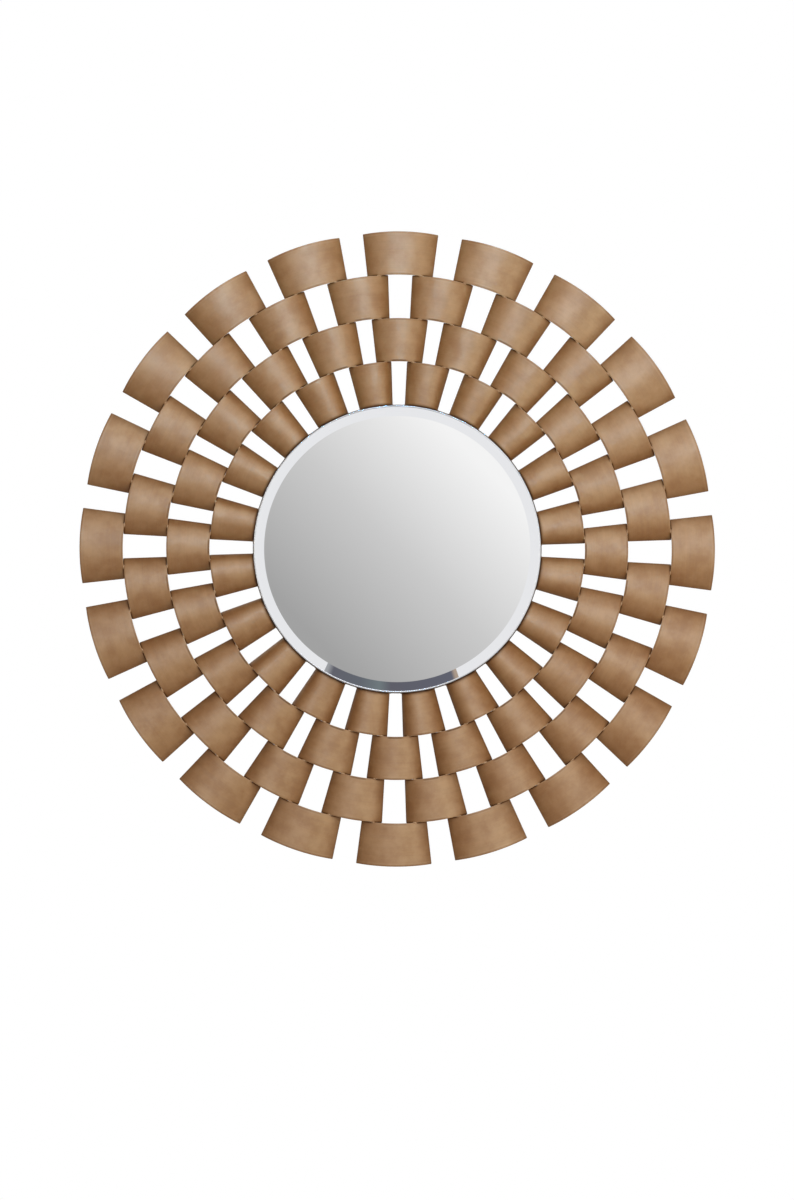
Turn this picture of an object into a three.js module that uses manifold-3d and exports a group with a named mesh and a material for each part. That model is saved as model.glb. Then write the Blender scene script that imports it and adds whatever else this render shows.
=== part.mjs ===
import * as THREE from 'three';
import { mergeVertices } from 'three/addons/utils/BufferGeometryUtils.js';
import Module from 'manifold-3d';

// A round wall mirror: a bevelled glass in a steel hoop, inside a lattice of arched sheet strips.
// Millimetres. The wall is the plane y = 0, the mirror faces -Y and +Z is up.
// The origin is the centre of the flat back. Angles run clockwise from the top, seen from the front.

// Lattice: rows of strips, each row turned half a pitch from the row outside it.
const outerRadius = 450;
const stripsPerRow = 20;
const rowPitch = 61.4;
const rowHalfAngles = [6.88, 6.52, 7.07, 6.67]; // degrees from a strip's middle to its side, outer row first
const crestHeight = 20; // from the wall to the front of a strip's outer edge, at its middle
const endHeight = 1.5; // from the wall to the front of a strip's ends
const sheetThickness = 1.2;
const archSegments = 8;

// Weld bead where the edges of two strips cross: half its length, half its width, half its height.
const beadHalfLength = 2.6;
const beadHalfWidth = 1.3;
const beadHalfHeight = 1.3;

// Neighbouring pieces stand this far apart.
const seam = 0.3;

// Hoop, glass and backing board, one inside the other.
const hoopWall = 1.8;
const hoopDepth = 14;
const glassThickness = 5;
const glassEdgeThickness = 2.6;
const bevelWidth = 13.8;
const boardThickness = 8;
const roundSegments = 60;

// Hanger plate, let into the back of the board over a pocket for the head of a wall screw.
const hangerHeight = 150; // from the centre of the mirror up to the middle of the plate
const plateWidth = 26;
const plateLength = 64;
const plateThickness = 1.5;
const plateCorner = 4;
const keyholeRadius = 5.5;
const keyholeSlotWidth = 5.6;
const keyholeSlotLength = 14; // from the middle of the round hole to the middle of the slot's end
const pocketWidth = 18;
const pocketLength = 36;
const pocketDepth = 6.4;

const bronze = { color: 0xa98660, roughness: 0.42, metalness: 0.85 };
const darkBronze = { color: 0x5c4127, roughness: 0.5, metalness: 0.8 };
const silvered = { color: 0xd9dcdf, roughness: 0.04, metalness: 1 };
const boardPaint = { color: 0x2b2724, roughness: 0.85, metalness: 0 };
const zincSteel = { color: 0xb4b6b8, roughness: 0.4, metalness: 0.95 };

const wasm = await Module();
wasm.setup();

const pitchAngle = (2 * Math.PI) / stripsPerRow;

function toSolid(geometry) {
  const bare = geometry.clone();
  bare.deleteAttribute('normal');
  bare.deleteAttribute('uv');
  const merged = mergeVertices(bare);
  const vertProperties = merged.attributes.position.array;
  const triVerts = new Uint32Array(merged.index.array);
  return new wasm.Manifold(new wasm.Mesh({ numProp: 3, vertProperties, triVerts }));
}

function toGeometry(solid) {
  const { vertProperties, triVerts } = solid.getMesh();
  const geometry = new THREE.BufferGeometry();
  geometry.setAttribute('position', new THREE.BufferAttribute(vertProperties, 3));
  geometry.setIndex(new THREE.BufferAttribute(triVerts, 1));
  geometry.computeVertexNormals();
  return geometry;
}

// A closed skin over a run of four-cornered sections, with a flat cap at each end.
function loftGeometry(sections) {
  const corners = 4;
  const indices = [];
  for (let i = 0; i + 1 < sections.length; i++) {
    for (let j = 0; j < corners; j++) {
      const here = i * corners + j;
      const beside = i * corners + ((j + 1) % corners);
      indices.push(here, beside, beside + corners);
      indices.push(here, beside + corners, here + corners);
    }
  }
  const last = (sections.length - 1) * corners;
  indices.push(0, 2, 1, 0, 3, 2);
  indices.push(last, last + 1, last + 2, last, last + 2, last + 3);
  const geometry = new THREE.BufferGeometry();
  geometry.setFromPoints(sections.flat());
  geometry.setIndex(indices);
  return geometry;
}

// A strip is a sheet bent over a cone whose point is at the middle of the mirror, so its outer
// and inner edges are similar arcs: the bend's half angle is shared, its radius follows the edge's.
function stripRow(row) {
  const outer = outerRadius - row * rowPitch;
  const inner = outer - rowPitch + seam;
  const spread = Math.sin(THREE.MathUtils.degToRad(rowHalfAngles[row]));
  const halfBend = 2 * Math.atan((crestHeight - endHeight) / (outer * spread));
  return { outer, inner, spread, halfBend };
}

// A point of a strip centred at the top: on the edge of the given radius, at an angle round
// the bend, and at a depth under the sheet's front face.
function stripPoint(strip, radius, bend, under) {
  const bendRadius = (radius * strip.spread) / Math.sin(strip.halfBend);
  const across = (bendRadius - under) * Math.sin(bend);
  const drop = bendRadius * Math.cos(strip.halfBend);
  const height = endHeight + (bendRadius - under) * Math.cos(bend) - drop;
  return new THREE.Vector3(across, -height, Math.sqrt(radius ** 2 - across ** 2));
}

function stripGeometry(strip) {
  const sections = [];
  for (let i = 0; i <= archSegments; i++) {
    const bend = THREE.MathUtils.lerp(-strip.halfBend, strip.halfBend, i / archSegments);
    sections.push([
      stripPoint(strip, strip.outer, bend, 0),
      stripPoint(strip, strip.inner, bend, 0),
      stripPoint(strip, strip.inner, bend, sheetThickness),
      stripPoint(strip, strip.outer, bend, sheetThickness),
    ]);
  }
  return loftGeometry(sections);
}

// How far the front of a strip's edge stands off the wall, at an angle from the strip's middle.
function edgeHeight(strip, radius, angle) {
  const bendRadius = (radius * strip.spread) / Math.sin(strip.halfBend);
  const across = radius * Math.sin(angle);
  return endHeight + Math.sqrt(bendRadius ** 2 - across ** 2) - bendRadius * Math.cos(strip.halfBend);
}

// The angle from an outer strip's middle at which its inner edge and the next row's outer edge
// are at one height. It is found by halving the stretch that holds the crossing.
function crossingAngle(outerStrip, innerStrip) {
  let near = 0;
  let far = pitchAngle / 2;
  for (let step = 0; step < 40; step++) {
    const middle = (near + far) / 2;
    const outerEdge = edgeHeight(outerStrip, outerStrip.inner, middle);
    const innerEdge = edgeHeight(innerStrip, innerStrip.outer, pitchAngle / 2 - middle);
    if (outerEdge > innerEdge) near = middle;
    else far = middle;
  }
  return near;
}

function beadGeometry(outerStrip, innerStrip) {
  const angle = crossingAngle(outerStrip, innerStrip);
  const height = edgeHeight(outerStrip, outerStrip.inner, angle) - sheetThickness / 2;
  const geometry = new THREE.OctahedronGeometry(1);
  geometry.scale(beadHalfLength, beadHalfHeight, beadHalfWidth);
  geometry.translate(0, -height, outerStrip.inner - seam / 2);
  geometry.rotateY(angle);
  return geometry;
}

// A strip and its clockwise neighbour in the next row inwards, joined by the bead between them.
function weldedPairGeometry(outerStrip, innerStrip) {
  const outerSheet = toSolid(stripGeometry(outerStrip));
  const innerSheet = toSolid(stripGeometry(innerStrip).rotateY(pitchAngle / 2));
  const bead = toSolid(beadGeometry(outerStrip, innerStrip));
  return toGeometry(outerSheet.add(bead).add(innerSheet));
}

function makeMesh(name, geometry, finish) {
  const mesh = new THREE.Mesh(geometry, new THREE.MeshStandardMaterial(finish));
  mesh.name = name;
  return mesh;
}

function makePairRing(name, outerStrip, innerStrip) {
  const ring = new THREE.Group();
  const geometry = weldedPairGeometry(outerStrip, innerStrip);
  for (let i = 0; i < stripsPerRow; i++) {
    const number = String(i + 1).padStart(2, '0');
    const pair = makeMesh(`${name}_${number}`, geometry, bronze);
    pair.rotation.y = i * pitchAngle;
    ring.add(pair);
  }
  return ring;
}

const strips = rowHalfAngles.map((_, row) => stripRow(row));
const hoopOuter = strips[strips.length - 1].inner - seam;
const hoopInner = hoopOuter - hoopWall;
const fillRadius = hoopInner - seam; // of the glass and the board inside the hoop

function makeHoop() {
  const profile = [
    new THREE.Vector2(hoopInner, -hoopDepth),
    new THREE.Vector2(hoopOuter, -hoopDepth),
    new THREE.Vector2(hoopOuter, 0),
    new THREE.Vector2(hoopInner, 0),
    new THREE.Vector2(hoopInner, -hoopDepth),
  ];
  return makeMesh('mirror_hoop', new THREE.LatheGeometry(profile, roundSegments), darkBronze);
}

function makeGlass() {
  const back = -boardThickness - seam;
  const front = back - glassThickness;
  const profile = [
    new THREE.Vector2(0, front),
    new THREE.Vector2(fillRadius - bevelWidth, front),
    new THREE.Vector2(fillRadius, back - glassEdgeThickness),
    new THREE.Vector2(fillRadius, back),
    new THREE.Vector2(0, back),
  ];
  return makeMesh('mirror_glass', new THREE.LatheGeometry(profile, roundSegments), silvered);
}

// A box sunk from the wall plane into the board, around the middle of the hanger plate.
function sunkBox(width, length, sunk) {
  const height = 2 * sunk;
  return new THREE.BoxGeometry(width, height, length).translate(0, 0, hangerHeight);
}

function makeBoard() {
  const disc = new THREE.CylinderGeometry(fillRadius, fillRadius, boardThickness, roundSegments);
  disc.translate(0, -boardThickness / 2, 0);
  const plateBed = sunkBox(plateWidth + 2 * seam, plateLength + 2 * seam, plateThickness + seam);
  const headPocket = sunkBox(pocketWidth, pocketLength, pocketDepth);
  const board = toSolid(disc).subtract(toSolid(plateBed)).subtract(toSolid(headPocket));
  return makeMesh('backing_board', toGeometry(board), boardPaint);
}

function keyholePath() {
  const halfSlot = keyholeSlotWidth / 2;
  const holeMiddle = -keyholeSlotLength / 2;
  const slotMiddle = keyholeSlotLength / 2;
  const mouth = Math.acos(halfSlot / keyholeRadius);
  const path = new THREE.Path();
  path.absarc(0, holeMiddle, keyholeRadius, mouth, Math.PI - mouth, true);
  path.absarc(0, slotMiddle, halfSlot, Math.PI, 0, true);
  path.closePath();
  return path;
}

function makeHangerPlate() {
  const x = plateWidth / 2 - plateCorner;
  const y = plateLength / 2 - plateCorner;
  const outline = new THREE.Shape();
  outline.absarc(x, y, plateCorner, 0, Math.PI / 2, false);
  outline.absarc(-x, y, plateCorner, Math.PI / 2, Math.PI, false);
  outline.absarc(-x, -y, plateCorner, Math.PI, 1.5 * Math.PI, false);
  outline.absarc(x, -y, plateCorner, 1.5 * Math.PI, 2 * Math.PI, false);
  outline.holes.push(keyholePath());
  const plate = new THREE.ExtrudeGeometry(outline, {
    depth: plateThickness,
    bevelEnabled: false,
    curveSegments: 5,
  });
  const mesh = makeMesh('hanger_plate', plate, zincSteel);
  mesh.rotation.x = Math.PI / 2;
  mesh.position.z = hangerHeight;
  return mesh;
}

const mirror = new THREE.Group();
mirror.add(makePairRing('outer_strip_pair', strips[0], strips[1]));
mirror.add(makePairRing('inner_strip_pair', strips[2], strips[3]));
mirror.add(makeHoop());
mirror.add(makeGlass());
mirror.add(makeBoard());
mirror.add(makeHangerPlate());

export default mirror;
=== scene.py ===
import math

import bpy
import numpy as np
from mathutils import Matrix, Vector


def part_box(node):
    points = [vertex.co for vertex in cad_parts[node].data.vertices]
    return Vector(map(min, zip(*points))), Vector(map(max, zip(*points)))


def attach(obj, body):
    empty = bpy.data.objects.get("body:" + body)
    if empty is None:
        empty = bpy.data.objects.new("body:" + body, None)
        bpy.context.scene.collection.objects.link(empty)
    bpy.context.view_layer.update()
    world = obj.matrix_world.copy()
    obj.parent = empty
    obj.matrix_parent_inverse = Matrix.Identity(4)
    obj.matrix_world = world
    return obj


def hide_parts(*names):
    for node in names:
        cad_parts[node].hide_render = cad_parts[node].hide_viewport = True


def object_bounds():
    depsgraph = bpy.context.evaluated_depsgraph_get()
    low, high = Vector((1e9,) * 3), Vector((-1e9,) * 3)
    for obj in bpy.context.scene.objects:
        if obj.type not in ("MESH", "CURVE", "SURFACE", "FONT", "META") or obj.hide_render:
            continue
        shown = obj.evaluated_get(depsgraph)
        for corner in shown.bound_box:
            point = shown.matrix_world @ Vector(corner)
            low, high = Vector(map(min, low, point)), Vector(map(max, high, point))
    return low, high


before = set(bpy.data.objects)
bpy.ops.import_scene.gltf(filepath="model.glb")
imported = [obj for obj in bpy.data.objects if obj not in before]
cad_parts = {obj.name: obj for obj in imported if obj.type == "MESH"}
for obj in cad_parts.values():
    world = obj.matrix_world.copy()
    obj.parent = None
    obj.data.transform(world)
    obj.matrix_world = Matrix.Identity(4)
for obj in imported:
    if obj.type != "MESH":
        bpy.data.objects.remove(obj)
cadBox = [list(corner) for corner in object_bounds()]
outerRadius = cadBox[1][0]  # of the whole lattice
crestHeight = -cadBox[0][1]  # wall to the front of the highest strips
print("frame loaded:", len(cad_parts), "nodes, radius", round(outerRadius, 4))


# mesh helpers

# quads over a grid of points that closes on itself along its second side
def ringQuads(stations, around):
    here = np.arange(stations * around).reshape(stations, around)
    beside = np.roll(here, -1, axis=1)
    quads = np.stack([here[:-1], beside[:-1], beside[1:], here[1:]], axis=-1)
    return quads.reshape(-1, 4)


# six times the volume inside a closed mesh: corner dot (corner cross corner), summed over its triangles
def signedVolume(points, quads, caps):
    total = 0.0
    for second, third in ((1, 2), (2, 3)):
        a, b, c = points[quads[:, 0]], points[quads[:, second]], points[quads[:, third]]
        total += np.einsum("ij,ij->", a, np.cross(b, c))
    for cap in caps:
        ring = points[np.asarray(cap)]
        total += float(np.sum(np.cross(ring[1:-1], ring[2:]) @ ring[0]))
    return total


# a mesh object at the origin from points, quads and flat caps, with its faces pointing out
def makePiece(name, points, quads, caps, material, slot, replaced=(), values=None, sharpDegrees=None):
    points = np.asarray(points, float).reshape(-1, 3)
    faces = quads.tolist() + [list(map(int, cap)) for cap in caps]
    if signedVolume(points, quads, caps) < 0:
        faces = [face[::-1] for face in faces]
    mesh = bpy.data.meshes.new(name)
    mesh.from_pydata(points.tolist(), [], faces)
    mesh.polygons.foreach_set("use_smooth", np.ones(len(faces), bool))
    if sharpDegrees:
        mesh.set_sharp_from_angle(angle=math.radians(sharpDegrees))
    for key, array in (values or {}).items():
        attribute = mesh.attributes.new(key, "FLOAT_VECTOR", "POINT")
        attribute.data.foreach_set("vector", array.astype(np.float32).ravel())
    mesh.materials.append(material)
    mesh.update()
    piece = bpy.data.objects.new(name, mesh)
    bpy.context.scene.collection.objects.link(piece)
    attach(piece, "root")
    if replaced:
        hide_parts(*replaced)


# a profile of (radius, y) carried round the mirror's axis; an open profile gets a flat cap at each end
def lathePiece(name, profile, segments, material, slot, closed=False, **rest):
    profile = np.asarray(profile, float)
    turn = np.linspace(0, 2 * np.pi, segments, endpoint=False)
    radius, y = profile[:, :1], np.repeat(profile[:, 1:], segments, axis=1)
    points = np.stack([radius * np.sin(turn), y, radius * np.cos(turn)], axis=-1)
    if closed:
        quads, caps = ringQuads(len(profile) + 1, segments) % (len(profile) * segments), []
    else:
        last = (len(profile) - 1) * segments
        quads = ringQuads(len(profile), segments)
        caps = [np.arange(segments)[::-1], last + np.arange(segments)]
    makePiece(name, points, quads, caps, material, slot, **rest)


# material helpers

def addNode(tree, kind, inputs=None, **settings):
    node = tree.nodes.new(kind)
    for key, value in settings.items():
        setattr(node, key, value)
    for key, value in (inputs or {}).items():
        if isinstance(value, bpy.types.NodeSocket):
            tree.links.new(value, node.inputs[key])
        else:
            node.inputs[key].default_value = value
    return node


# plain values go straight on the shader's own sockets, given by socket name
def newMaterial(name, plain):
    material = bpy.data.materials.new(name)
    material.use_nodes = True
    tree = material.node_tree
    shader = tree.nodes["Principled BSDF"]
    for key, value in plain.items():
        shader.inputs[key].default_value = value
    return material, tree, shader


def objectPlace(tree):
    return addNode(tree, "ShaderNodeTexCoord").outputs["Object"]


def stretched(tree, vector, scales):
    return addNode(tree, "ShaderNodeVectorMath", {0: vector, 1: scales}, operation="MULTIPLY").outputs[0]


def noiseOf(tree, vector, scale, detail=3.0, roughness=0.55):
    inputs = {"Vector": vector, "Scale": scale, "Detail": detail, "Roughness": roughness}
    return addNode(tree, "ShaderNodeTexNoise", inputs).outputs["Fac"]


noiseSpan = (0.3, 0.7)  # where nearly all of a noise's values lie
noiseMiddle = (0.35, 0.65)


def mathOf(tree, operation, first, second):
    return addNode(tree, "ShaderNodeMath", {0: first, 1: second}, operation=operation).outputs[0]


def blendOf(tree, first, second, share):
    part = mathOf(tree, "MULTIPLY", first, 1 - share)
    other = mathOf(tree, "MULTIPLY", second, share)
    return mathOf(tree, "ADD", part, other)


def rangeOf(tree, value, fromLow, fromHigh, toLow, toHigh):
    inputs = {"Value": value, "From Min": fromLow, "From Max": fromHigh, "To Min": toLow, "To Max": toHigh}
    return addNode(tree, "ShaderNodeMapRange", inputs).outputs[0]


def mixOf(tree, factor, first, second):
    return addNode(tree, "ShaderNodeMix", {0: factor, 6: first, 7: second}, data_type="RGBA").outputs[2]


# a colour ramp from a dictionary of colours by place
def rampOf(tree, factor, colours):
    ramp = addNode(tree, "ShaderNodeValToRGB", {0: factor})
    stops = ramp.color_ramp.elements
    for place in list(colours)[1:-1]:
        stops.new(place)
    for stop, (place, colour) in zip(stops, colours.items()):
        stop.position, stop.color = place, colour
    return ramp.outputs[0]


def bumpOf(tree, height, strength, distance):
    inputs = {"Height": height, "Strength": strength, "Distance": distance}
    return addNode(tree, "ShaderNodeBump", inputs).outputs[0]


# bronze finish of the strips and their welds

bronzeLook = {
    "body": (0.312, 0.116, 0.019, 1),
    "pale": (0.358, 0.146, 0.032, 1),
    "deep": (0.268, 0.090, 0.011, 1),
    # painted shade: the colour laid into crevices, seams, the hoop's foot and the strips' ends
    "paintedShade": (0.062, 0.022, 0.007, 1),
    # pale bronze: ground weld metal, and on the strips rubbed edges with painted sheen
    "rubbedAndSheen": (0.50, 0.30, 0.155, 1),
    "roughness": (0.46, 0.54),
    "gloss": (0.44, 0.56),  # least and most of the lacquer's reflection, in dull and bright patches
    "shadeGloss": 0.03,  # share of it left where shade is painted into the colour
    "lacquer": {
        "Metallic": 0.04,
        "IOR": 2.2,
        "Specular Tint": (1.0, 0.99, 0.78, 1),
    },
    "fineBrush": (22, 900, 40),  # scales along a strip, across it and from strip to strip
    "broadBrush": (9, 210, 40),
    "brushBump": (0.1, 0.0002),  # strength and distance
    "cloudScale": 40.0,
    "cloudShare": 0.58,  # of the cloudy patina in the tone, beside the brushing
    "cloudSpan": (0.38, 0.62),  # of the cloud from dull to bright
    "toneStops": (0.38, 0.5, 0.63),  # of the deep colour, the body and the pale one
    "weldGrain": 900.0,
    "weldRoughness": (0.4, 0.55),
    "weldBump": (0.3, 0.0003),
}


# satin bronze lacquer: brushing that follows the strip, cloudy patina, painted shade in crevices and at the
# ends, and rubbed rims with painted sheen
def bronzeMaterial():
    material, tree, shader = newMaterial("satinBronze", bronzeLook["lacquer"])
    place = addNode(tree, "ShaderNodeAttribute", attribute_name="sheetPlace").outputs["Vector"]
    paintedLightAndWear = addNode(tree, "ShaderNodeAttribute", attribute_name="paintedLightAndWear").outputs["Vector"]
    paintedLightAndWear = addNode(tree, "ShaderNodeSeparateXYZ", {0: paintedLightAndWear})
    fine = noiseOf(tree, stretched(tree, place, bronzeLook["fineBrush"]), 1.0, 4.0)
    broad = noiseOf(tree, stretched(tree, place, bronzeLook["broadBrush"]), 1.0, 3.0)
    cloud = noiseOf(tree, objectPlace(tree), bronzeLook["cloudScale"], 4.0, 0.6)
    brush = blendOf(tree, fine, broad, 0.5)
    tone = blendOf(tree, brush, cloud, bronzeLook["cloudShare"])
    low, middle, high = bronzeLook["toneStops"]
    colour = mixOf(tree, rangeOf(tree, tone, low, middle, 0, 1), bronzeLook["deep"], bronzeLook["body"])
    colour = mixOf(tree, rangeOf(tree, tone, middle, high, 0, 1), colour, bronzeLook["pale"])
    # rubbed edges with painted sheen along them
    colour = mixOf(tree, paintedLightAndWear.outputs["Y"], colour, bronzeLook["rubbedAndSheen"])
    # painted shade in crevices, beside the hoop and at the strips' ends
    colour = mixOf(tree, paintedLightAndWear.outputs["X"], colour, bronzeLook["paintedShade"])
    tree.links.new(colour, shader.inputs["Base Color"])
    tree.links.new(rangeOf(tree, brush, *noiseSpan, *bronzeLook["roughness"]), shader.inputs["Roughness"])
    gloss = rangeOf(tree, cloud, *bronzeLook["cloudSpan"], *bronzeLook["gloss"])
    # the lacquer's reflection is damped where shade is painted
    glossInShade = rangeOf(tree, paintedLightAndWear.outputs["X"], 0, 1, 1, bronzeLook["shadeGloss"])
    tree.links.new(mathOf(tree, "MULTIPLY", gloss, glossInShade), shader.inputs["Specular IOR Level"])
    tree.links.new(bumpOf(tree, fine, *bronzeLook["brushBump"]), shader.inputs["Normal"])
    return material


# ground-down weld metal: paler, lumpier and without the brushing
def weldMaterial():
    material, tree, shader = newMaterial("weldBronze", bronzeLook["lacquer"])
    grain = noiseOf(tree, objectPlace(tree), bronzeLook["weldGrain"], 3.0)
    colour = mixOf(tree, rangeOf(tree, grain, *noiseMiddle, 0, 1), bronzeLook["body"], bronzeLook["rubbedAndSheen"])
    tree.links.new(colour, shader.inputs["Base Color"])
    rough = rangeOf(tree, grain, *noiseSpan, *bronzeLook["weldRoughness"])
    tree.links.new(rough, shader.inputs["Roughness"])
    tree.links.new(bumpOf(tree, grain, *bronzeLook["weldBump"]), shader.inputs["Normal"])
    return material


satinBronze = bronzeMaterial()
weldBronze = weldMaterial()
print("bronze mixed")


# strips

strip = {
    "perRow": 20,
    "rowPitch": 0.0614,  # one row's outer edge to the next row's
    "halfAngles": (6.88, 6.52, 7.07, 6.67),  # degrees from the middle to a side, outer row first
    "endHeight": 0.0015,  # wall to the front of a strip's ends
    "sheet": 0.0012,
    "edgeRoll": 0.0022,  # how far the rounding of an edge reaches into the face
    "edgeDrop": 0.00085,  # how deep it goes
    "backCut": 0.00025,
    "endRound": 0.0005,
    "support": 0.0005,  # of sheet kept beside each rounded end
    "seam": 0.0003,  # between two rows
    "tuck": 0.0010,  # how far a low outer edge reaches under the row outside it
    "footTuck": 0.0005,  # how far the inner row reaches over the hoop
    "tuckFrom": 0.0040,  # width of the margin that is drawn out to do so
    "bendSteps": 26,
    "faceSteps": 6,
    "cornerSteps": 5,
    "seed": 11,
    "twist": 0.012,  # most that a strip is twisted, as rise over run
    "lean": (0.0, 0.03, 0.045, 0.11),  # of each row's strips to the clockwise side, likewise
    "ripple": 0.0001,  # height of the unevenness that the rolls leave
    "shift": 0.0006,  # most that a strip sits off its place, in radians
    "edgeLoops": (0.0029, 0.0038, 0.0050),  # grid lines beside each edge, for its shading
    "creviceShadeReach": (0.0008, 0.0018),  # of the painted shade beside a level neighbour and under a high one
    "creviceShadeDepth": (0.1, 0.45, 0.92),  # of it beside a low neighbour, a level one and a high one
    "hoopShadowReach": (0.0017, 0.0027),  # of the painted shadow beside the hoop, at a strip's ends and its middle
    "hoopDepth": 1.0,
    "endShadeReach": (0.0010, 0.0060),  # of the painted shade: a line at a strip's ends and a wider band inside it
    "endShadeDepth": (0.6, 0.26),
    "openShadeDepth": (  # of the painted shade line along free outer edges and along free inner ones, row by row
        (0.15, 0.28, 0.30, 0.40),
        (0.30, 0.60, 0.80, 0),
    ),
    "openShadePlace": 0.0017,  # of that line, in from the edge
    "openShadeReach": 0.0011,
    "rimRubAndSheenDepth": 0.2,
    "rimRubAndSheenPlace": 0.0034,  # of the rubbed line with painted sheen beside it
    "rimRubAndSheenReach": 0.0011,
    "edgeRubAndSheenDepth": (0.3, 0.8),  # of rubbed metal with painted sheen on free outer edges, and on free inner or high ones
    "edgeRubAndSheenReach": 0.0006,
    "fade": math.radians(0.35),  # over which a neighbour's shading sets in
}
pitch = 2 * np.pi / strip["perRow"]
rowCount = len(strip["halfAngles"])


# a row's radii and bend: rise over half chord is the tangent of half the half bend
def rowShape(row):
    outer = outerRadius - row * strip["rowPitch"]
    inner = outer - strip["rowPitch"] + strip["seam"]
    halfAngle = math.radians(strip["halfAngles"][row])
    spread = math.sin(halfAngle)
    halfBend = 2 * math.atan((crestHeight - strip["endHeight"]) / (outer * spread))
    return {"outer": outer, "inner": inner, "halfAngle": halfAngle, "spread": spread, "halfBend": halfBend}


# radius of the bend under an edge: half chord over the sine of the half bend
def bendRadius(shape, radius):
    return radius * shape["spread"] / math.sin(shape["halfBend"])


# height of an edge's front above the wall, at an angle round the mirror from the strip's middle
def edgeHeight(shape, radius, angle):
    bend = bendRadius(shape, radius)
    rise = np.sqrt(bend**2 - (radius * np.sin(angle)) ** 2)
    return strip["endHeight"] + rise - bend * math.cos(shape["halfBend"])


# section through the sheet as (distance from the outer edge, depth under the front): its front corners are
# quarter ellipses, the roll long and the drop deep, and its back corners are small chamfers
def sheetSection(width):
    loops, thick, cut = np.array(strip["edgeLoops"]), strip["sheet"], strip["backCut"]
    corner = np.linspace(0, np.pi / 2, strip["cornerSteps"] + 1)
    fall = strip["edgeRoll"] * (1 - np.cos(corner))
    face = np.linspace(loops[-1], width - loops[-1], strip["faceSteps"])[1:-1]
    run = np.concatenate([fall, loops, face, width - loops[::-1], width - fall[::-1]])
    drop = strip["edgeDrop"] * (1 - np.sin(corner))
    depth = np.concatenate([drop, np.zeros(len(run) - 2 * len(drop)), drop[::-1]])
    back = [(width, thick - cut), (width - cut, thick), (cut, thick), (0, thick - cut)]
    return np.concatenate([np.stack([run, depth], axis=1), back])


# stations along the bend as (angle, how far the section shrinks): the ends are rounded by a quarter circle
def bendStations(shape):
    soft = strip["endRound"] / bendRadius(shape, shape["outer"])
    keep = strip["support"] / bendRadius(shape, shape["outer"])
    last = shape["halfBend"]
    corner = np.linspace(0, np.pi / 2, strip["cornerSteps"] + 1)
    middle = np.linspace(-last + soft + keep, last - soft - keep, strip["bendSteps"] + 1)
    end = last - soft + soft * np.sin(corner)
    shrink = strip["endRound"] * (1 - np.cos(corner))
    angles = np.concatenate([-end[::-1], middle, end])
    shrinks = np.concatenate([shrink[::-1], np.zeros_like(middle), shrink])
    return angles[:, None], shrinks[:, None]


# how much higher than this strip's edge the next row's edge is, and whether that row is there at all
def neighbourRise(row, side, angle):
    beside = row + side
    if not 0 <= beside < rowCount:
        return np.zeros_like(angle), np.zeros_like(angle)
    own, other = rowShape(row), rowShape(beside)
    ownEdge, otherEdge = ("inner", "outer") if side > 0 else ("outer", "inner")
    away = pitch / 2 - np.abs(angle)
    there = np.clip((other["halfAngle"] - away) / strip["fade"] + 0.5, 0, 1)
    otherHeight = edgeHeight(other, other[otherEdge], np.minimum(away, other["halfAngle"]))
    return otherHeight - edgeHeight(own, own[ownEdge], angle), there


# one strip: across = (bend radius - depth) sin(angle), height likewise with the cosine, on its own circle
def stripGrid(row, turn, rng):
    shape = rowShape(row)
    width = shape["outer"] - shape["inner"]
    thick = strip["sheet"]
    angles, shrinks = bendStations(shape)
    run, depth = sheetSection(width).T[:, None, :]
    run = width / 2 + (run - width / 2) * (1 - shrinks / (width / 2))
    depth = thick / 2 + (depth - thick / 2) * (1 - shrinks / (thick / 2))
    aside = np.arcsin(shape["spread"] * np.sin(angles) / math.sin(shape["halfBend"]))
    rise, there = neighbourRise(row, -1, aside)
    tuckOut = strip["tuck"] * there * np.clip(rise / (3 * thick), 0, 1)
    tuckIn = strip["footTuck"] if row == rowCount - 1 else 0.0
    radius = shape["outer"] - run + tuckOut * np.clip(1 - run / strip["tuckFrom"], 0, 1)
    radius = radius - tuckIn * np.clip(1 - (width - run) / strip["tuckFrom"], 0, 1)
    bend = bendRadius(shape, radius)
    across = (bend - depth) * np.sin(angles)
    height = strip["endHeight"] + (bend - depth) * np.cos(angles) - bend * math.cos(shape["halfBend"])
    share = angles / shape["halfBend"]
    twist, phase = rng.uniform(-1, 1), rng.uniform(0, 2 * np.pi, 3)
    waves = sum(np.sin(share * k * np.pi + phase[k - 2]) / k for k in (2, 3, 4))
    slant = twist * strip["twist"] + strip["lean"][row]
    # what the slant and the ripple lift the crest by is taken off again
    settle = bend * slant**2 / 2 + strip["ripple"]
    height = height + (1 - share**2) * (slant * across + strip["ripple"] * waves - settle)
    out = np.sqrt(radius**2 - across**2)
    turn = turn + rng.uniform(-1, 1) * strip["shift"]
    x = across * math.cos(turn) + out * math.sin(turn)
    z = out * math.cos(turn) - across * math.sin(turn)
    points = np.stack([x, -height, z], axis=-1)
    place = np.stack([bend * angles, run, np.full_like(x, rng.uniform(0, 50))], axis=-1)
    return points, place, stripPaintedLightAndWear(row, shape, aside, run, width)
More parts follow.
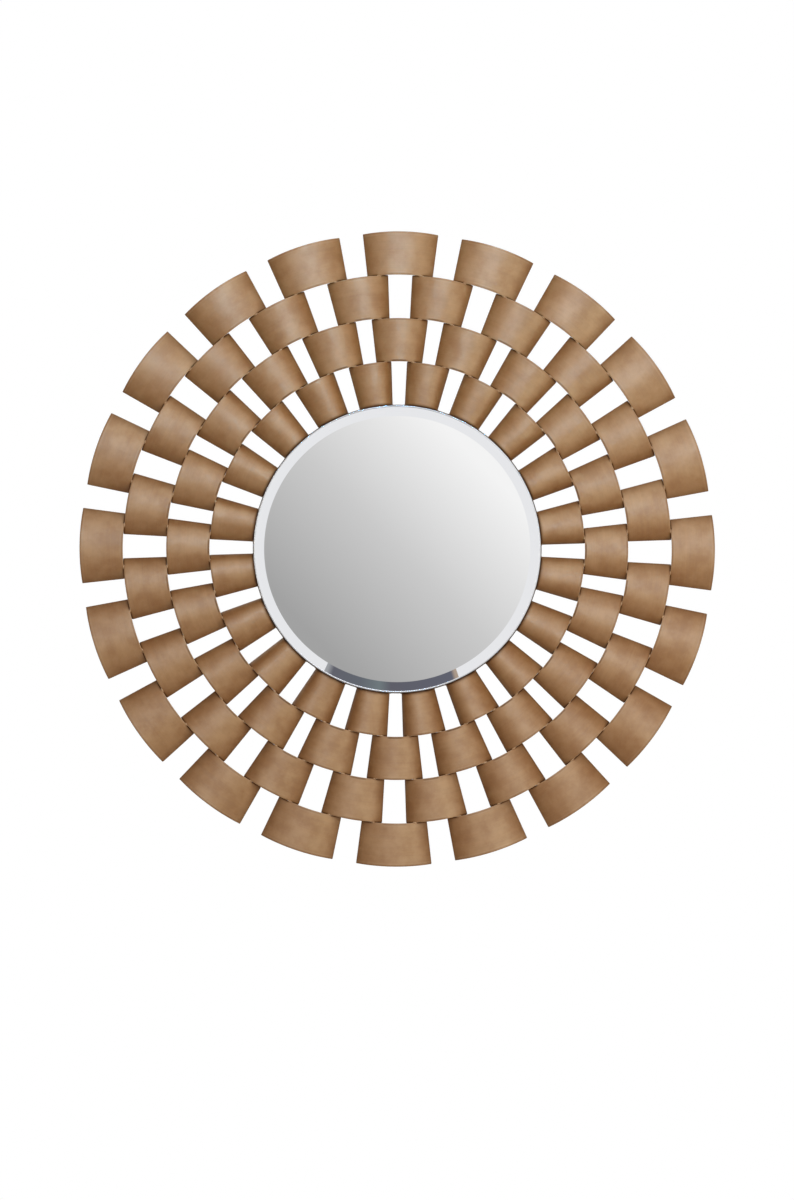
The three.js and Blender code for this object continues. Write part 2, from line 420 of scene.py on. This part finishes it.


# painted light and wear as (dark, rubbed), all bell curves of the distance to an edge: painted shade as a
# dark line and a wider band at the ends, crevices beside a neighbour or the hoop and a dark line along free
# edges, and rubbed metal with painted sheen as a line along free edges and worn rims
def stripPaintedLightAndWear(row, shape, aside, run, width):
    toEnd = (shape["halfAngle"] - np.abs(aside)) * (shape["outer"] - run)
    ends = zip(strip["endShadeDepth"], strip["endShadeReach"])
    # painted shade at the ends: a thin dark line and a wider band inside it
    endLine, endShade = (depth * np.exp(-((toEnd / reach) ** 2)) for depth, reach in ends)
    dark = np.maximum(endLine, endShade)
    rubbedAndSheen = np.zeros_like(dark)
    sides = zip((-1, 1), (run, width - run), strip["openShadeDepth"], strip["edgeRubAndSheenDepth"])
    for side, gap, openShadeDepths, openRubAndSheen in sides:
        rise, there = neighbourRise(row, side, aside)
        level = rise / (2 * strip["sheet"])
        reach = np.interp(level, (0, 1), strip["creviceShadeReach"])
        depth = np.interp(level, (-1, 0, 1), strip["creviceShadeDepth"])
        if row + side == rowCount:  # beside the hoop
            there, depth = 1.0, strip["hoopDepth"]
            # painted shadow beside the hoop, widest at the strip's middle, where it stands highest
            middle = 1 - (aside / shape["halfAngle"]) ** 2
            reach = strip["hoopShadowReach"][0] + middle * np.ptp(strip["hoopShadowReach"])
        # painted shade: a dark line a little in from a free edge
        openShadeLine = np.exp(-(((gap - strip["openShadePlace"]) / strip["openShadeReach"]) ** 2))
        # painted shade in the crevice beside a neighbour, deeper under a high one, or painted shadow beside
        # the hoop
        dark = np.maximum(dark, there * depth * np.exp(-((gap / reach) ** 2)))
        dark = np.maximum(dark, (1 - there) * openShadeDepths[row] * openShadeLine)
        # rubbed line with painted sheen, further in from a free edge
        rim = np.exp(-(((gap - strip["rimRubAndSheenPlace"]) / strip["rimRubAndSheenReach"]) ** 2))
        # rubbed metal with painted sheen on a free edge or one that stands above its neighbour
        edgeRubAndSheen = there * np.clip(-level, 0, 1) * strip["edgeRubAndSheenDepth"][1] + (1 - there) * openRubAndSheen
        rubbedAndSheen = np.maximum(rubbedAndSheen, (1 - there) * rim * strip["rimRubAndSheenDepth"])
        rubbedAndSheen = np.maximum(rubbedAndSheen, edgeRubAndSheen * np.exp(-((gap / strip["edgeRubAndSheenReach"]) ** 2)))
    return np.stack([dark, rubbedAndSheen, np.zeros_like(dark)], axis=-1)


# two strips in one mesh, each a closed run of sections with a flat cap at each end
def pairPiece(name, strips):
    quads, caps, start = [], [], 0
    for grid, *_ in strips:
        stations, around = grid.shape[:2]
        quads.append(ringQuads(stations, around) + start)
        last = start + (stations - 1) * around
        caps += [start + np.arange(around)[::-1], last + np.arange(around)]
        start += stations * around
    joined = [np.concatenate([part.reshape(-1, 3) for part in parts]) for parts in zip(*strips)]
    points, places, paintedLightAndWearValues = joined
    values = {"sheetPlace": places, "paintedLightAndWear": paintedLightAndWearValues}
    makePiece(name + "_sheet", points, np.concatenate(quads), caps, satinBronze, "bronze", (name,), values)


def makeStrips():
    rng = np.random.default_rng(strip["seed"])
    for ring, row in (("outer", 0), ("inner", 2)):
        for i in range(strip["perRow"]):
            turn = i * pitch
            pair = [stripGrid(row, turn, rng), stripGrid(row + 1, turn + pitch / 2, rng)]
            pairPiece(f"{ring}_strip_pair_{i + 1:02d}", pair)


makeStrips()
print("strips bent")


# welds where the edges of two rows cross, and at the inner row's feet

weld = {
    "halfLength": 0.0031,
    "halfWidth": 0.0012,
    "halfHeight": 0.0013,
    "around": 8,
    "along": 5,
    "poleAngle": 0.22,  # of the first and last ring from a bead's pole, in radians
    "uneven": 0.25,
    "footIn": math.radians(0.35),  # of a foot weld, in from the strip's side
    "crossSteps": 400,  # of the scale on which two edges' crossing is found
    "seed": 23,
}


# beads at (radius, angle, height): ellipsoids, long along the row, as rings with a cap at each pole
def weldPiece(name, radius, angles, heights, rng):
    around, along, count = weld["around"], weld["along"], len(angles)
    tilt = np.linspace(weld["poleAngle"], np.pi - weld["poleAngle"], along)[:, None]
    spin = np.linspace(0, 2 * np.pi, around, endpoint=False)
    ring = np.sin(tilt)
    unit = np.stack([np.cos(tilt) + 0 * spin, ring * np.cos(spin), ring * np.sin(spin)], axis=-1)
    half = np.array([weld["halfLength"], weld["halfWidth"], weld["halfHeight"]])
    size = half * rng.uniform(1 - weld["uneven"], 1 + weld["uneven"], (count, 1, 1, 3))
    bead = unit * size
    turn = angles[:, None, None]
    out = radius + bead[..., 1]
    points = np.stack([
        out * np.sin(turn) + bead[..., 0] * np.cos(turn),
        -(heights[:, None, None] + bead[..., 2]),
        out * np.cos(turn) - bead[..., 0] * np.sin(turn),
    ], axis=-1)
    starts = np.arange(count)[:, None, None] * around * along
    quads = (ringQuads(along, around) + starts).reshape(-1, 4)
    firstRing = np.arange(around)[::-1] + starts[:, 0]
    lastRing = np.arange(around) + (along - 1) * around + starts[:, 0]
    caps = np.concatenate([firstRing, lastRing]).tolist()
    makePiece(name, points, quads, caps, weldBronze, "bronze")


# two edges cross where their heights are equal, found on a fine scale of angles
def makeWelds():
    rng = np.random.default_rng(weld["seed"])
    turns = np.arange(strip["perRow"]) * pitch
    for row in range(rowCount - 1):
        near, far = rowShape(row), rowShape(row + 1)
        scale = np.linspace(pitch / 2 - far["halfAngle"], near["halfAngle"], weld["crossSteps"])
        nearHeight = edgeHeight(near, near["inner"], scale)
        gap = nearHeight - edgeHeight(far, far["outer"], pitch / 2 - scale)
        cross = np.interp(0, -gap, scale)
        middles = turns + (row % 2) * pitch / 2
        angles = np.concatenate([middles - cross, middles + cross])
        height = np.interp(cross, scale, nearHeight) - strip["sheet"] / 2
        weldPiece(f"row_{row + 1}_welds", near["inner"] - strip["seam"] / 2, angles,
                  np.full(len(angles), height), rng)
    last = rowShape(rowCount - 1)
    side = last["halfAngle"] - weld["footIn"]
    middles = turns + pitch / 2
    angles = np.concatenate([middles - side, middles + side])
    height = float(edgeHeight(last, last["inner"], side)) - strip["sheet"] / 2
    weldPiece("hoop_welds", last["inner"] - strip["seam"] / 2, angles, np.full(len(angles), height), rng)


makeWelds()
print("welds laid")


# hoop round the glass

hoopLow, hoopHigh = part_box("mirror_hoop")
hoop = {
    "wall": 0.0018,
    "fill": 0.0003,  # how far it goes into the gap beside the strips
    "lip": 0.0004,
    "lipSteps": 5,
    "segments": 240,
    "sharpDegrees": 50,
    "ior": 1.4,
    "cloudScale": 60.0,
    "dark": (0.022, 0.009, 0.004, 1),
    "light": (0.054, 0.024, 0.010, 1),
    "bright": (0.95, 0.95, 0.95, 1),  # of the land beside the glass, which is polished bare
    "brightWidth": 0.0007,
    "brightFade": 0.0001,  # on each side of the land's edge
    "roughness": (0.42, 0.08),  # of the dull part and the polished land
}


# hoop section: a rectangle with a flat polished land beside the glass and its outer front edge rounded off
def makeHoop():
    outer, front, back = hoopHigh.x + hoop["fill"], hoopLow.y, hoopHigh.y
    inner, soft = hoopHigh.x - hoop["wall"], hoop["lip"]
    arc = np.linspace(0, np.pi / 2, hoop["lipSteps"])
    rimOut = np.stack([outer - soft + soft * np.sin(arc), front + soft - soft * np.cos(arc)], axis=1)
    section = np.concatenate([[[inner, front]], rimOut, [[outer, back], [inner, back]]])
    material, tree, shader = newMaterial("darkBronze", {"IOR": hoop["ior"]})
    cloud = noiseOf(tree, objectPlace(tree), hoop["cloudScale"], 4.0, 0.6)
    colour = mixOf(tree, rangeOf(tree, cloud, *noiseMiddle, 0, 1), hoop["dark"], hoop["light"])
    flat = stretched(tree, objectPlace(tree), (1, 0, 1))
    reach = addNode(tree, "ShaderNodeVectorMath", {0: flat}, operation="LENGTH").outputs["Value"]
    edge = inner + hoop["brightWidth"]
    bare = rangeOf(tree, reach, edge - hoop["brightFade"], edge + hoop["brightFade"], 1, 0)
    tree.links.new(mixOf(tree, bare, colour, hoop["bright"]), shader.inputs["Base Color"])
    tree.links.new(bare, shader.inputs["Metallic"])
    tree.links.new(rangeOf(tree, bare, 0, 1, *hoop["roughness"]), shader.inputs["Roughness"])
    lathePiece("mirror_hoop_band", section, hoop["segments"], material, "dark_bronze",
               closed=True, replaced=("mirror_hoop",), sharpDegrees=hoop["sharpDegrees"])


makeHoop()
print("hoop made")


# glass

glassLow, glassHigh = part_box("mirror_glass")
glass = {
    "bevel": 0.0138,
    "edge": 0.0026,  # thickness left at the rim
    "fill": 0.0002,  # how far the rim goes into the gap beside the hoop
    "arris": 0.0005,
    "arrisFall": math.tan(math.radians(13.5)),
    "segments": 240,
    "sharpDegrees": 2,  # so that the bevel and the arris stay flat
    "silver": (0.955, 0.955, 0.956, 1),
    "filmScale": 9.0,
    "roughness": (0.008, 0.018),
}


# glass: a flat face, a bevel that falls to the thin edge, a narrow polished arris, and a flat back
def makeGlass():
    rim, front, back = glassHigh.x + glass["fill"], glassLow.y, glassHigh.y
    fall = (back - glass["edge"] - front) / glass["bevel"]
    bevelEnd = front + fall * (glass["bevel"] - glass["arris"])
    profile = [
        (rim - glass["bevel"], front),
        (rim - glass["arris"], bevelEnd),
        (rim, bevelEnd + glass["arris"] * glass["arrisFall"]),
        (rim, back),
    ]
    material, tree, shader = newMaterial("silveredGlass", {"Metallic": 1.0, "Base Color": glass["silver"]})
    film = noiseOf(tree, objectPlace(tree), glass["filmScale"], 3.0)
    tree.links.new(rangeOf(tree, film, *noiseSpan, *glass["roughness"]), shader.inputs["Roughness"])
    lathePiece("mirror_glass_pane", profile, glass["segments"], material, "silvered_glass",
               replaced=("mirror_glass",), sharpDegrees=glass["sharpDegrees"])


makeGlass()
print("glass cut")


# back: painted fibreboard, zinc hanger plate and its screws

board = {
    "paint": (0.020, 0.017, 0.015, 1),
    "fibre": (0.046, 0.038, 0.031, 1),
    "ior": 1.45,
    "fibreStretch": (1, 1, 4),
    "fibreScale": 420.0,
    "cloudScale": 18.0,
    "cloudShare": 0.35,
    "toneSpan": (0.4, 0.62),  # from the paint to the fibre colour
    "roughness": (0.62, 0.8),
    "bump": (0.25, 0.0004),  # strength and distance
}
hanger = {
    "zinc": (0.56, 0.57, 0.58, 1),
    "spangle": (0.70, 0.71, 0.72, 1),
    "spangleScale": 520.0,
    "grainStretch": (8, 8, 1),
    "grainScale": 300.0,
    "roughness": (0.3, 0.45),
    "sharpDegrees": 40,
    "screwReach": 0.024,  # of each screw from the middle of the plate
    "headRadius": 0.0038,
    "headDome": 0.0001,
    "headRings": 9,
    "headSides": 32,
    "headTip": 0.02,  # share of the radius at the innermost ring
    "slotWidth": 0.0005,
    "slotDepth": 0.0006,
    "slotReach": 0.97,  # share of the radius
}


# matt paint over pressed fibres: short fibres show as fine streaks of a paler tone
def boardMaterial():
    material, tree, shader = newMaterial("paintedFibreboard", {"IOR": board["ior"]})
    here = objectPlace(tree)
    fibres = noiseOf(tree, stretched(tree, here, board["fibreStretch"]), board["fibreScale"], 5.0, 0.65)
    cloud = noiseOf(tree, here, board["cloudScale"], 3.0)
    tone = blendOf(tree, fibres, cloud, board["cloudShare"])
    colour = mixOf(tree, rangeOf(tree, tone, *board["toneSpan"], 0, 1), board["paint"], board["fibre"])
    tree.links.new(colour, shader.inputs["Base Color"])
    tree.links.new(rangeOf(tree, fibres, *noiseSpan, *board["roughness"]), shader.inputs["Roughness"])
    tree.links.new(bumpOf(tree, fibres, *board["bump"]), shader.inputs["Normal"])
    return material


# zinc plating: crystal spangles over a faint rolling grain
def zincMaterial():
    material, tree, shader = newMaterial("zincPlate", {"Metallic": 1.0})
    here = objectPlace(tree)
    cells = addNode(tree, "ShaderNodeTexVoronoi", {"Vector": here, "Scale": hanger["spangleScale"]})
    grain = noiseOf(tree, stretched(tree, here, hanger["grainStretch"]), hanger["grainScale"], 3.0)
    tone = blendOf(tree, cells.outputs["Color"], grain, 0.5)
    colour = mixOf(tree, rangeOf(tree, tone, *noiseSpan, 0, 1), hanger["zinc"], hanger["spangle"])
    tree.links.new(colour, shader.inputs["Base Color"])
    tree.links.new(rangeOf(tree, tone, *noiseSpan, *hanger["roughness"]), shader.inputs["Roughness"])
    return material


# slotted screw heads: a shallow dome, rise = dome (1 - radius squared), less a slot that falls off
# across the head as the exponential of minus the fourth power
def makeScrews(material):
    low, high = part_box("hanger_plate")
    middle = (low + high) / 2
    share = np.linspace(1, hanger["headTip"], hanger["headRings"])[:, None]
    spin = np.linspace(0, 2 * np.pi, hanger["headSides"], endpoint=False)
    x = hanger["headRadius"] * share * np.sin(spin)
    z = hanger["headRadius"] * share * np.cos(spin)
    slotCut = hanger["slotDepth"] * np.exp(-((x / hanger["slotWidth"]) ** 4))
    y = high.y + hanger["headDome"] * (1 - share**2) - slotCut * (share < hanger["slotReach"])
    face = np.stack([x, y, z], axis=-1)
    under = np.stack([x[0], np.full_like(x[0], middle.y), z[0]], axis=-1)[None]
    head = np.concatenate([under, face])
    stations, around = head.shape[:2]
    for i, side in enumerate((1, -1)):
        place = Vector((middle.x, 0, middle.z + side * hanger["screwReach"]))
        last = (stations - 1) * around
        caps = [np.arange(around)[::-1], last + np.arange(around)]
        makePiece(f"hanger_screw_{i + 1}", head + np.array(place), ringQuads(stations, around), caps,
                  material, "zinc_steel", sharpDegrees=hanger["sharpDegrees"])


def setMaterial(node, material):
    slots = bpy.data.objects[node].data.materials
    slots.clear()
    slots.append(material)


zincPlate = zincMaterial()
setMaterial("backing_board", boardMaterial())
setMaterial("hanger_plate", zincPlate)
makeScrews(zincPlate)
print("back finished")


# stage: camera, floor, reflected cards and light

photo = {
    "width": 794,
    "height": 1200,
    "centre": (397.2, 549.0),  # pixel of the mirror's middle
    "span": 635.6,  # pixels across the lattice
    "turn": 0.633,  # degrees clockwise that the mirror hangs off true
    "distance": 5.2,
    "sensor": 36.0,
}


# the camera looks square at the wall, rolled by the hang, and set off so that the middle lands on its pixel
def makeCamera():
    perPixel = 2 * outerRadius / photo["span"]
    roll = math.radians(photo["turn"])
    right = Vector((math.cos(roll), 0, math.sin(roll)))
    up = Vector((-math.sin(roll), 0, math.cos(roll)))
    aside = (photo["centre"][0] - photo["width"] / 2) * perPixel
    above = (photo["height"] / 2 - photo["centre"][1]) * perPixel
    data = bpy.data.cameras.new("photoCamera")
    data.sensor_width = photo["sensor"]
    data.lens = photo["distance"] / perPixel / photo["height"] * data.sensor_width
    camera = bpy.data.objects.new("photoCamera", data)
    bpy.context.scene.collection.objects.link(camera)
    axes = Matrix((right, up, Vector((0, -1, 0)))).transposed()
    spot = Vector((0, -crestHeight - photo["distance"], 0)) - right * aside - up * above
    camera.matrix_world = Matrix.Translation(spot) @ axes.to_4x4()
    bpy.context.scene.camera = camera


# a flat card from a grid of points; the mirror sees it, the camera and the diffuse light don't
def stageCard(name, points, material, reflectedOnly=True):
    points = np.asarray(points, float)
    rows, columns = points.shape[:2]
    here = np.arange(rows * columns).reshape(rows, columns)
    quads = np.stack([here[:-1, :-1], here[:-1, 1:], here[1:, 1:], here[1:, :-1]], axis=-1).reshape(-1, 4)
    mesh = bpy.data.meshes.new(name)
    mesh.from_pydata(points.reshape(-1, 3).tolist(), [], quads.tolist())
    mesh.materials.append(material)
    card = bpy.data.objects.new(name, mesh)
    bpy.context.scene.collection.objects.link(card)
    if reflectedOnly:
        card.visible_camera = card.visible_diffuse = card.visible_shadow = False


def glowMaterial(name, colour):
    material = bpy.data.materials.new(name)
    material.use_nodes = True
    tree = material.node_tree
    tree.nodes.clear()
    glow = addNode(tree, "ShaderNodeEmission", {"Color": colour, "Strength": 1.0})
    addNode(tree, "ShaderNodeOutputMaterial", {"Surface": glow.outputs[0]})
    return material, tree, glow


cards = {
    "faceDistance": 5.5,  # of the graded card that the flat glass reflects
    "faceReach": 1.0,
    "faceTones": (0.375, 0.615, 0.94),  # lower left, middle, upper right
    "faceSpan": 0.48,  # of x + z from the middle tone to the others, on the glass
    "ringDistance": 3.0,  # of the pale ring that the bevel reflects
    "ringSteps": 97,
    "ringRadii": (0.86, 1.6),
    "ringTone": (0.825, 0.832, 0.852, 1),
    "glintRadii": (1.6, 2.3),  # of the white ring round it, for the glass's arris
    "glintTone": (0.95, 0.95, 0.95, 1),
    "slateDistance": 2.0,  # of the dark slab that the foot of the bevel reflects
    "slateTop": ((-0.49, -0.75), (0.44, -0.80)),
    "slateFoot": ((-0.56, -1.15), (0.46, -1.15)),
    "slateTones": {  # along the slab, from its left end to its right one
        0.0: (0.34, 0.35, 0.37, 1),
        0.04: (0.125, 0.127, 0.155, 1),
        0.25: (0.128, 0.140, 0.165, 1),
        0.40: (0.165, 0.200, 0.215, 1),
        0.49: (0.118, 0.118, 0.145, 1),
        0.96: (0.122, 0.128, 0.165, 1),
        0.985: (0.42, 0.33, 0.26, 1),
    },
}


# the graded card's brightness follows x + z, so the glass goes from grey at lower left to near white
# at upper right; the rings are circles, and the slab's tones run along x
def makeCards():
    far, reach = cards["faceDistance"], cards["faceReach"]
    material, tree, glow = glowMaterial("gradedCard", (1, 1, 1, 1))
    axes = addNode(tree, "ShaderNodeSeparateXYZ", {0: objectPlace(tree)})
    slope = mathOf(tree, "ADD", axes.outputs["X"], axes.outputs["Z"])
    camera = bpy.context.scene.camera.location
    grow = far / photo["distance"]
    middle = -(camera.x + camera.z) * grow
    span = cards["faceSpan"] / 2 * (1 + grow)
    share = rangeOf(tree, slope, middle - span, middle + span, 0, 1)
    tones = {place: (tone, tone, tone, 1) for place, tone in zip((0, 0.5, 1), cards["faceTones"])}
    tree.links.new(rampOf(tree, share, tones), glow.inputs["Color"])
    square = [[(x, -far, z) for x in (-reach, reach)] for z in (-reach, reach)]
    stageCard("graded_card", square, material)

    turn = np.linspace(0, 2 * np.pi, cards["ringSteps"])
    circle = np.stack([np.sin(turn), np.zeros_like(turn), np.cos(turn)], axis=-1)
    for name in ("ring", "glint"):
        rims = [r * circle - (0, cards["ringDistance"], 0) for r in cards[name + "Radii"]]
        stageCard(name + "_card", rims, glowMaterial(name + "Card", cards[name + "Tone"])[0])
    slab = [[(x, -cards["slateDistance"], z) for x, z in cards[edge]] for edge in ("slateFoot", "slateTop")]
    material, tree, glow = glowMaterial("slateCard", (1, 1, 1, 1))
    along = addNode(tree, "ShaderNodeSeparateXYZ", {0: objectPlace(tree)}).outputs["X"]
    share = rangeOf(tree, along, cards["slateTop"][0][0], cards["slateTop"][1][0], 0, 1)
    tree.links.new(rampOf(tree, share, cards["slateTones"]), glow.inputs["Color"])
    stageCard("slate_card", slab, material)


room = {
    "floorHeight": -1.45,
    "floorReach": 3.0,
    "floorTones": ((0.74, 0.74, 0.74, 1), (0.80, 0.80, 0.80, 1)),
    "floorRoughness": 0.6,
    "cloudScale": 3.0,
    "diffuse": 0.05,  # strength of the surroundings that lights the strips
    "glossy": 0.25,  # strength of those that shiny surfaces reflect
    "tint": (0.95, 0.97, 1.0, 1),
}


def makeFloor():
    material, tree, shader = newMaterial("paleFloor", {"Roughness": room["floorRoughness"]})
    cloud = noiseOf(tree, objectPlace(tree), room["cloudScale"])
    colour = mixOf(tree, cloud, *room["floorTones"])
    tree.links.new(colour, shader.inputs["Base Color"])
    reach, height = room["floorReach"], room["floorHeight"]
    square = [[(x, y, height) for x in (-reach, reach)] for y in (-2 * reach, reach)]
    stageCard("studio_floor", square, material, reflectedOnly=False)


# white to the camera; dimmer to the rays that light the strips than to those that the glass reflects
def makeWorld():
    world = bpy.data.worlds.new("studio")
    world.use_nodes = True
    bpy.context.scene.world = world
    tree = world.node_tree
    tree.nodes.clear()
    path = addNode(tree, "ShaderNodeLightPath")
    seen = addNode(tree, "ShaderNodeBackground", {"Color": (1, 1, 1, 1), "Strength": 1.0})
    dim = addNode(tree, "ShaderNodeBackground", {"Color": room["tint"], "Strength": room["diffuse"]})
    gloss = addNode(tree, "ShaderNodeBackground", {"Color": room["tint"], "Strength": room["glossy"]})
    unseen = addNode(tree, "ShaderNodeMixShader", {0: path.outputs["Is Glossy Ray"]})
    tree.links.new(dim.outputs[0], unseen.inputs[1])
    tree.links.new(gloss.outputs[0], unseen.inputs[2])
    both = addNode(tree, "ShaderNodeMixShader", {0: path.outputs["Is Camera Ray"]})
    tree.links.new(unseen.outputs[0], both.inputs[1])
    tree.links.new(seen.outputs[0], both.inputs[2])
    addNode(tree, "ShaderNodeOutputWorld", {"Surface": both.outputs[0]})


# soft boxes by name: place, side in metres, power in watts, tint
coolWhite, plainWhite, warmWhite = (0.96, 1.06, 1.40), (1.01, 0.96, 0.88), (1.11, 0.88, 0.44)
softBoxes = {
    "frontLeft": ((-1.2, -4.4, 0.2), 1.0, 16.4, plainWhite),
    "frontLow": ((1.5, -3.6, -0.95), 0.9, 12.6, warmWhite),
    "frontHigh": ((0.2, -3.4, 1.2), 1.0, 18.1, coolWhite),
    "frontRight": ((1.25, -3.4, 0.2), 1.0, 8.1, plainWhite),
    "topNear": ((0.15, -1.0, 1.2), 1.0, 7.0, plainWhite),
    "rightNear": ((1.35, -1.3, -0.3), 0.8, 6.5, plainWhite),
    "leftMid": ((-2.1, -2.4, 0.5), 1.0, 4.5, plainWhite),
    "behind": ((-1.4, 2.4, 1.2), 1.6, 25, plainWhite),
}


crown = {  # a narrow cool beam on the upper rows
    "place": (0.0, -3.4, 0.95),
    "aim": (0.0, 0.0, 0.5),
    "side": 0.4,
    "power": 0.5,
    "tint": (0.2, 0.72, 1.35),
    "spread": math.radians(24),
}


def addLight(name, place, side, power, tint, aim=(0, 0, 0), spread=math.pi):
    data = bpy.data.lights.new(name, "AREA")
    data.shape = "SQUARE"
    data.size = side
    data.energy = power
    data.color = tint
    data.spread = spread
    light = bpy.data.objects.new(name, data)
    light.location = place
    light.rotation_euler = (Vector(aim) - Vector(place)).to_track_quat("-Z", "Y").to_euler()
    light.visible_camera = False
    bpy.context.scene.collection.objects.link(light)


def makeLights():
    for name, (place, side, power, tint) in softBoxes.items():
        addLight(name, place, side, power, tint)
    addLight("crown", **crown)


makeCamera()
makeCards()
makeFloor()
makeWorld()
makeLights()
bpy.context.scene.view_settings.view_transform = "Standard"
print("stage set")
